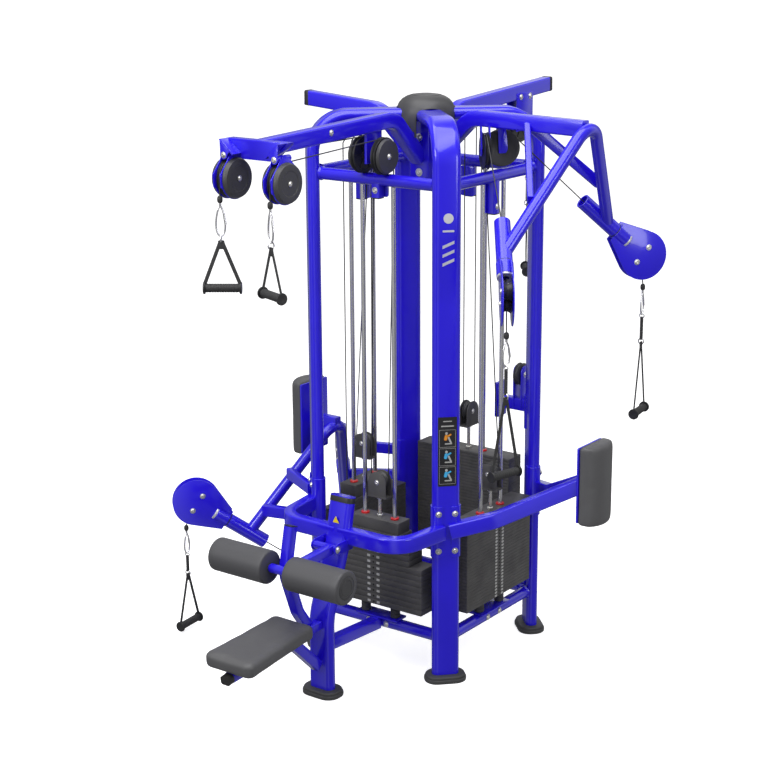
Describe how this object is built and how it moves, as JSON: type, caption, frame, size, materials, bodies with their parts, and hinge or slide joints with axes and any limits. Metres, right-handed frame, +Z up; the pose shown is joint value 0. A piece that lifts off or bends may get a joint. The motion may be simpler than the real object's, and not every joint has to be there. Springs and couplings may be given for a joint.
{
  "type": "four-station cable gym machine",
  "caption": "Square cable gym with weight stacks between bent uprights, a pulldown seat with rollers, swivelling high and low pulleys and stirrup handles.",
  "frame": {"origin": "on the floor, under the centre of the hub where the four uprights meet", "axes": "+Z up; -Y towards the seated pulldown station, +X towards the station with the half-round pad, -X towards the low pulleys, +Y towards the rear station"},
  "size_m": [1.8557, 2.2989, 2.391],
  "materials": {
    "blue_paint": "glossy cobalt-blue powder coat",
    "dark_plastic": "satin dark grey",
    "black_rubber": "matt",
    "grey_vinyl": "satin grey vinyl over foam",
    "black_iron": "satin black",
    "chrome": "polished"
  },
  "bodies": {
    "frame": {"arm_high": "blue_paint", "arm_row": "blue_paint", "boom_high": "blue_paint", "boom_pulldown": "blue_paint", "boom_rear": "blue_paint", "boom_row": "blue_paint", "bracket_rear": "blue_paint", "cable_high": "dark_plastic", "cable_pulldown": "dark_plastic", "cable_rear": "dark_plastic", "cable_row": "dark_plastic", "corner_front": "blue_paint", "corner_left": "blue_paint", "corner_rear": "blue_paint", "corner_right": "blue_paint", "foot_front": "black_rubber", "foot_left": "black_rubber", "foot_rear": "black_rubber", "foot_right": "black_rubber", "foot_seat": "black_rubber", "guide_rods_high": "chrome", "guide_rods_pulldown": "chrome", "guide_rods_rear": "chrome", "guide_rods_row": "chrome", "hub_cap": "dark_plastic", "hub_core": "blue_paint", "mast_pulldown": "blue_paint", "pad_high": "grey_vinyl", "pad_row": "grey_vinyl", "seat_frame": "blue_paint", "seat_pad": "grey_vinyl", "stack_plates_high": "black_iron", "stack_plates_pulldown": "black_iron", "stack_plates_rear": "black_iron", "stack_plates_row": "black_iron"},
    "handle_high_left": {"handle_high_left": "black_rubber"},
    "handle_high_right": {"handle_high_right": "black_rubber"},
    "handle_pulldown_left": {"handle_pulldown_left": "black_rubber"},
    "handle_pulldown_right": {"handle_pulldown_right": "black_rubber"},
    "handle_rear": {"handle_rear": "black_rubber"},
    "handle_row_left": {"handle_row_left": "black_rubber"},
    "handle_row_right": {"handle_row_right": "black_rubber"},
    "head_high_left": {"head_high_left": "blue_paint"},
    "head_high_right": {"head_high_right": "blue_paint"},
    "head_row_left": {"head_row_left": "blue_paint"},
    "head_row_right": {"head_row_right": "blue_paint"},
    "roller_arm": {"roller_arm": "blue_paint"},
    "roller_left": {"roller_left": "grey_vinyl"},
    "roller_right": {"roller_right": "grey_vinyl"},
    "stack_head_high": {"stack_head_high": "black_iron"},
    "stack_head_pulldown": {"stack_head_pulldown": "black_iron"},
    "stack_head_rear": {"stack_head_rear": "black_iron"},
    "stack_head_row": {"stack_head_row": "black_iron"},
    "swivel_pulldown_left": {"swivel_pulldown_left": "blue_paint"},
    "swivel_pulldown_right": {"swivel_pulldown_right": "blue_paint"},
    "wheel_hub_left": {"wheel_hub_left": "dark_plastic"},
    "wheel_hub_right": {"wheel_hub_right": "dark_plastic"},
    "wheel_pulldown_left": {"wheel_pulldown_left": "dark_plastic"},
    "wheel_pulldown_right": {"wheel_pulldown_right": "dark_plastic"},
    "wheel_rear": {"wheel_rear": "dark_plastic"}
  },
  "joints": [
    {"name": "lift_pulldown", "type": "slide", "parent": "frame", "child": "stack_head_pulldown", "axis": [0, 0, 1], "range_m": [0, 0.9], "deforming": ["cable_pulldown"]},
    {"name": "lift_high", "type": "slide", "parent": "frame", "child": "stack_head_high", "axis": [0, 0, 1], "range_m": [0, 0.9], "deforming": ["cable_high"]},
    {"name": "lift_row", "type": "slide", "parent": "frame", "child": "stack_head_row", "axis": [0, 0, 1], "range_m": [0, 0.9], "deforming": ["cable_row"]},
    {"name": "lift_rear", "type": "slide", "parent": "frame", "child": "stack_head_rear", "axis": [0, 0, 1], "range_m": [0, 0.45], "deforming": ["cable_rear"]},
    {"name": "swing_pulldown_left", "type": "hinge", "parent": "frame", "child": "swivel_pulldown_left", "pos_m": [-0.12, -1.101, 2.251], "axis": [0, 1, 0], "range_deg": [-10, 35]},
    {"name": "spin_pulldown_left", "type": "hinge", "parent": "swivel_pulldown_left", "child": "wheel_pulldown_left", "pos_m": [-0.12, -1.07, 2.163], "axis": [1, 0, 0], "continuous": true},
    {"name": "pull_pulldown_left", "type": "slide", "parent": "swivel_pulldown_left", "child": "handle_pulldown_left", "axis": [0, 0, -1], "range_m": [0, 0.9]},
    {"name": "spin_hub_left", "type": "hinge", "parent": "frame", "child": "wheel_hub_left", "pos_m": [-0.05, -0.362, 2.176], "axis": [1, 0, 0], "continuous": true},
    {"name": "swing_pulldown_right", "type": "hinge", "parent": "frame", "child": "swivel_pulldown_right", "pos_m": [0.12, -1.101, 2.251], "axis": [0, 1, 0], "range_deg": [-35, 10]},
    {"name": "spin_pulldown_right", "type": "hinge", "parent": "swivel_pulldown_right", "child": "wheel_pulldown_right", "pos_m": [0.12, -1.07, 2.163], "axis": [1, 0, 0], "continuous": true},
    {"name": "pull_pulldown_right", "type": "slide", "parent": "swivel_pulldown_right", "child": "handle_pulldown_right", "axis": [0, 0, -1], "range_m": [0, 0.9]},
    {"name": "spin_hub_right", "type": "hinge", "parent": "frame", "child": "wheel_hub_right", "pos_m": [0.05, -0.362, 2.176], "axis": [1, 0, 0], "continuous": true},
    {"name": "spin_rear", "type": "hinge", "parent": "frame", "child": "wheel_rear", "pos_m": [0, 0.728, 2.19], "axis": [1, 0, 0], "continuous": true},
    {"name": "pull_rear", "type": "slide", "parent": "frame", "child": "handle_rear", "axis": [0, 0, -1], "range_m": [0, 0.9]},
    {"name": "turn_high_left", "type": "hinge", "parent": "frame", "child": "head_high_left", "pos_m": [0.66409, -0.42611, 1.82587], "axis": [0.4504, -0.6006, -0.6606], "range_deg": [-45, 45]},
    {"name": "pull_high_left", "type": "slide", "parent": "head_high_left", "child": "handle_high_left", "axis": [0, 0, -1], "range_m": [0, 0.9]},
    {"name": "turn_row_left", "type": "hinge", "parent": "frame", "child": "head_row_left", "pos_m": [-0.77928, 0.42047, 0.50247], "axis": [-0.5564, 0.6023, 0.5724], "range_deg": [-45, 45]},
    {"name": "pull_row_left", "type": "slide", "parent": "head_row_left", "child": "handle_row_left", "axis": [-0.95, 0, 0.3122], "range_m": [0, 0.9]},
    {"name": "turn_high_right", "type": "hinge", "parent": "frame", "child": "head_high_right", "pos_m": [0.66409, 0.42611, 1.82587], "axis": [0.4504, 0.6006, -0.6606], "range_deg": [-45, 45]},
    {"name": "pull_high_right", "type": "slide", "parent": "head_high_right", "child": "handle_high_right", "axis": [0, 0, -1], "range_m": [0, 0.9]},
    {"name": "turn_row_right", "type": "hinge", "parent": "frame", "child": "head_row_right", "pos_m": [-0.77928, -0.42047, 0.50247], "axis": [-0.5564, -0.6023, 0.5724], "range_deg": [-45, 45]},
    {"name": "pull_row_right", "type": "slide", "parent": "head_row_right", "child": "handle_row_right", "axis": [-0.95, 0, 0.3122], "range_m": [0, 0.9]},
    {"name": "swing_rollers", "type": "hinge", "parent": "frame", "child": "roller_arm", "pos_m": [0, -0.702, 0.628], "axis": [-1, 0, 0], "range_deg": [0, 22]},
    {"name": "spin_roller_left", "type": "hinge", "parent": "roller_arm", "child": "roller_left", "pos_m": [-0.19, -0.985, 0.617], "axis": [1, 0, 0], "continuous": true},
    {"name": "spin_roller_right", "type": "hinge", "parent": "roller_arm", "child": "roller_right", "pos_m": [0.19, -0.985, 0.617], "axis": [1, 0, 0], "continuous": true}
  ],
  "couplings": [
    {"joint": "pull_pulldown_left", "follows": "lift_pulldown", "ratio": 1},
    {"joint": "pull_pulldown_right", "follows": "lift_pulldown", "ratio": 1},
    {"joint": "pull_rear", "follows": "lift_rear", "ratio": 2},
    {"joint": "pull_high_left", "follows": "lift_high", "ratio": 1},
    {"joint": "pull_row_left", "follows": "lift_row", "ratio": 1},
    {"joint": "pull_high_right", "follows": "lift_high", "ratio": 1},
    {"joint": "pull_row_right", "follows": "lift_row", "ratio": 1}
  ]
}
